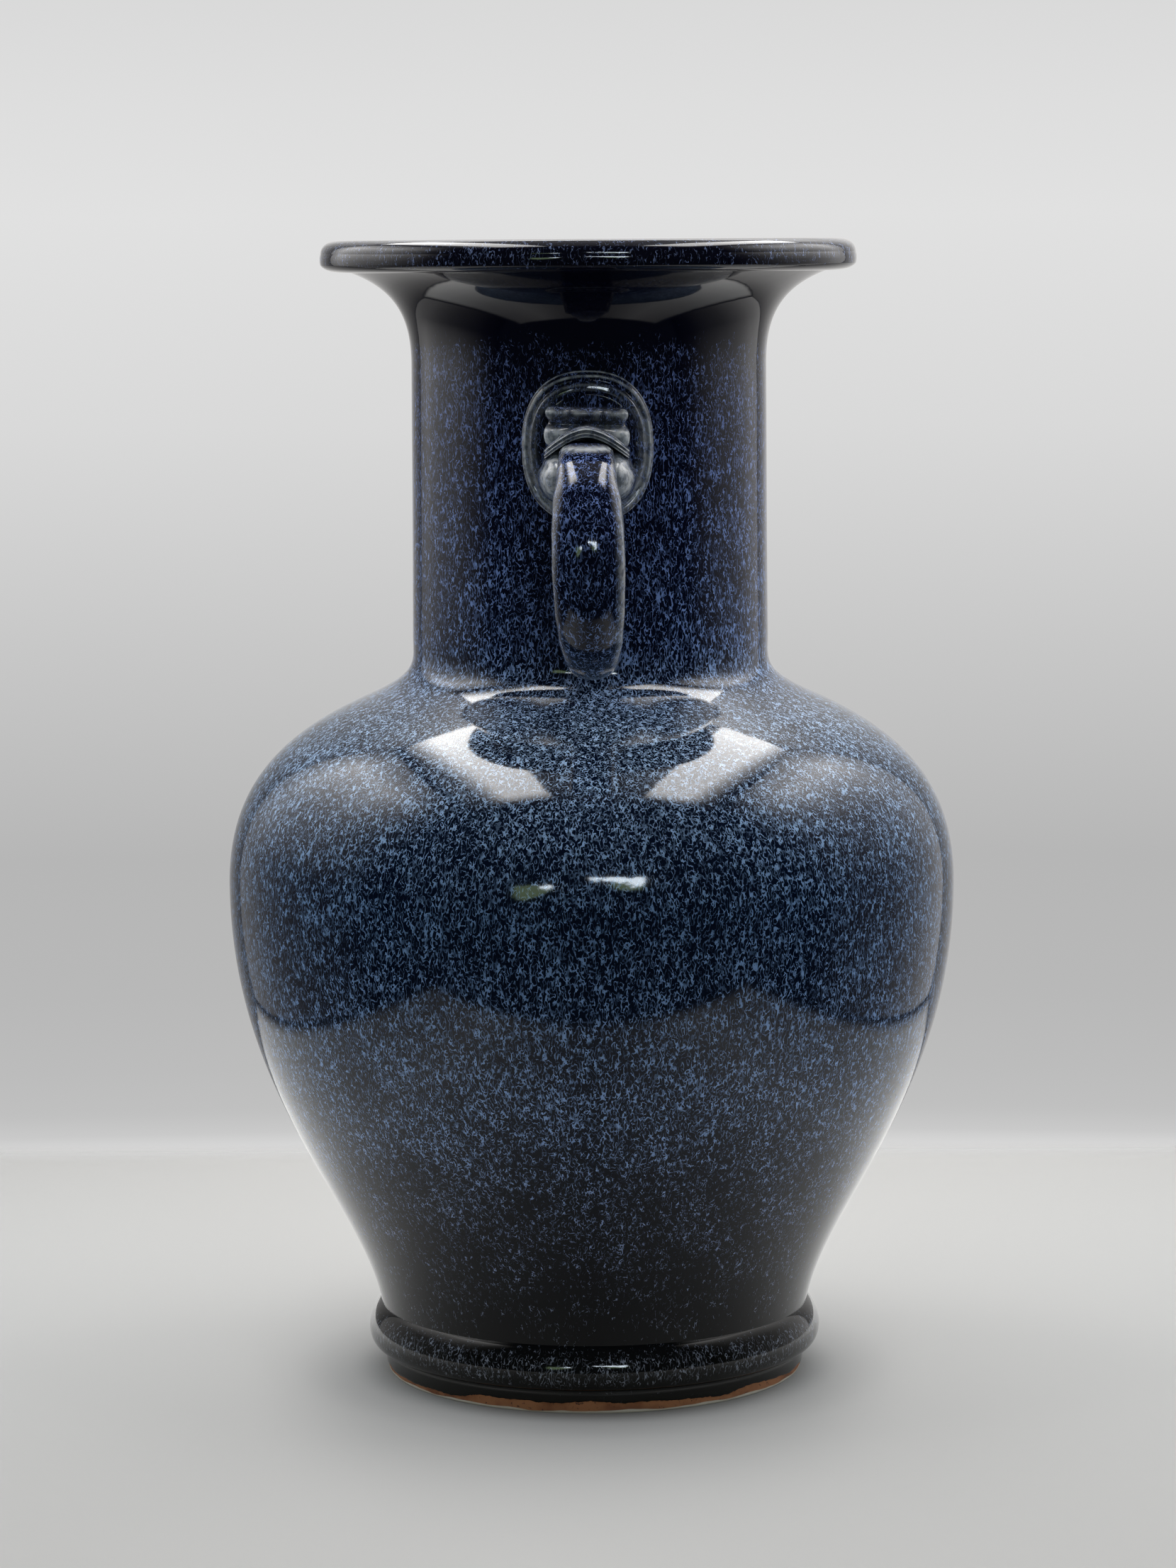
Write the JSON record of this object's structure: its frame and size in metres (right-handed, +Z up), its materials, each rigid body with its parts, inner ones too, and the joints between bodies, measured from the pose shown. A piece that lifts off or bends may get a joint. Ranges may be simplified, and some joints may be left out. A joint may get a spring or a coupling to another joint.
{
  "type": "two-handled vase",
  "caption": "Baluster vase with a wide straight neck, flared rolled lip, moulded foot and a beast-mask ring handle on each side of the neck.",
  "frame": {"origin": "centre of the circle on which the foot ring stands", "axes": "+Z up along the turned body's axis; the two handles are on -Y and +Y, and +X is square to them"},
  "size_m": [0.256, 0.256, 0.4],
  "materials": {
    "blue_glaze": "high gloss, blue streaks on a near-black ground",
    "dark_glaze": "high gloss, near black with pale blue flecks",
    "bare_clay": "matt, fired orange-brown clay"
  },
  "bodies": {
    "root": {"foot_ring": "bare_clay", "foot_moulding": "dark_glaze", "base_floor": "bare_clay", "lower_body": "blue_glaze", "upper_body": "blue_glaze", "neck": "blue_glaze", "mouth_flare": "blue_glaze", "rolled_lip": "blue_glaze", "front_handle_pad": "blue_glaze", "front_mask_brow": "blue_glaze", "front_mask_muzzle": "blue_glaze", "front_mask_left_cheek": "blue_glaze", "front_mask_right_cheek": "blue_glaze", "front_ring": "blue_glaze", "back_handle_pad": "blue_glaze", "back_mask_brow": "blue_glaze", "back_mask_muzzle": "blue_glaze", "back_mask_left_cheek": "blue_glaze", "back_mask_right_cheek": "blue_glaze", "back_ring": "blue_glaze"}
  },
  "joints": []
}
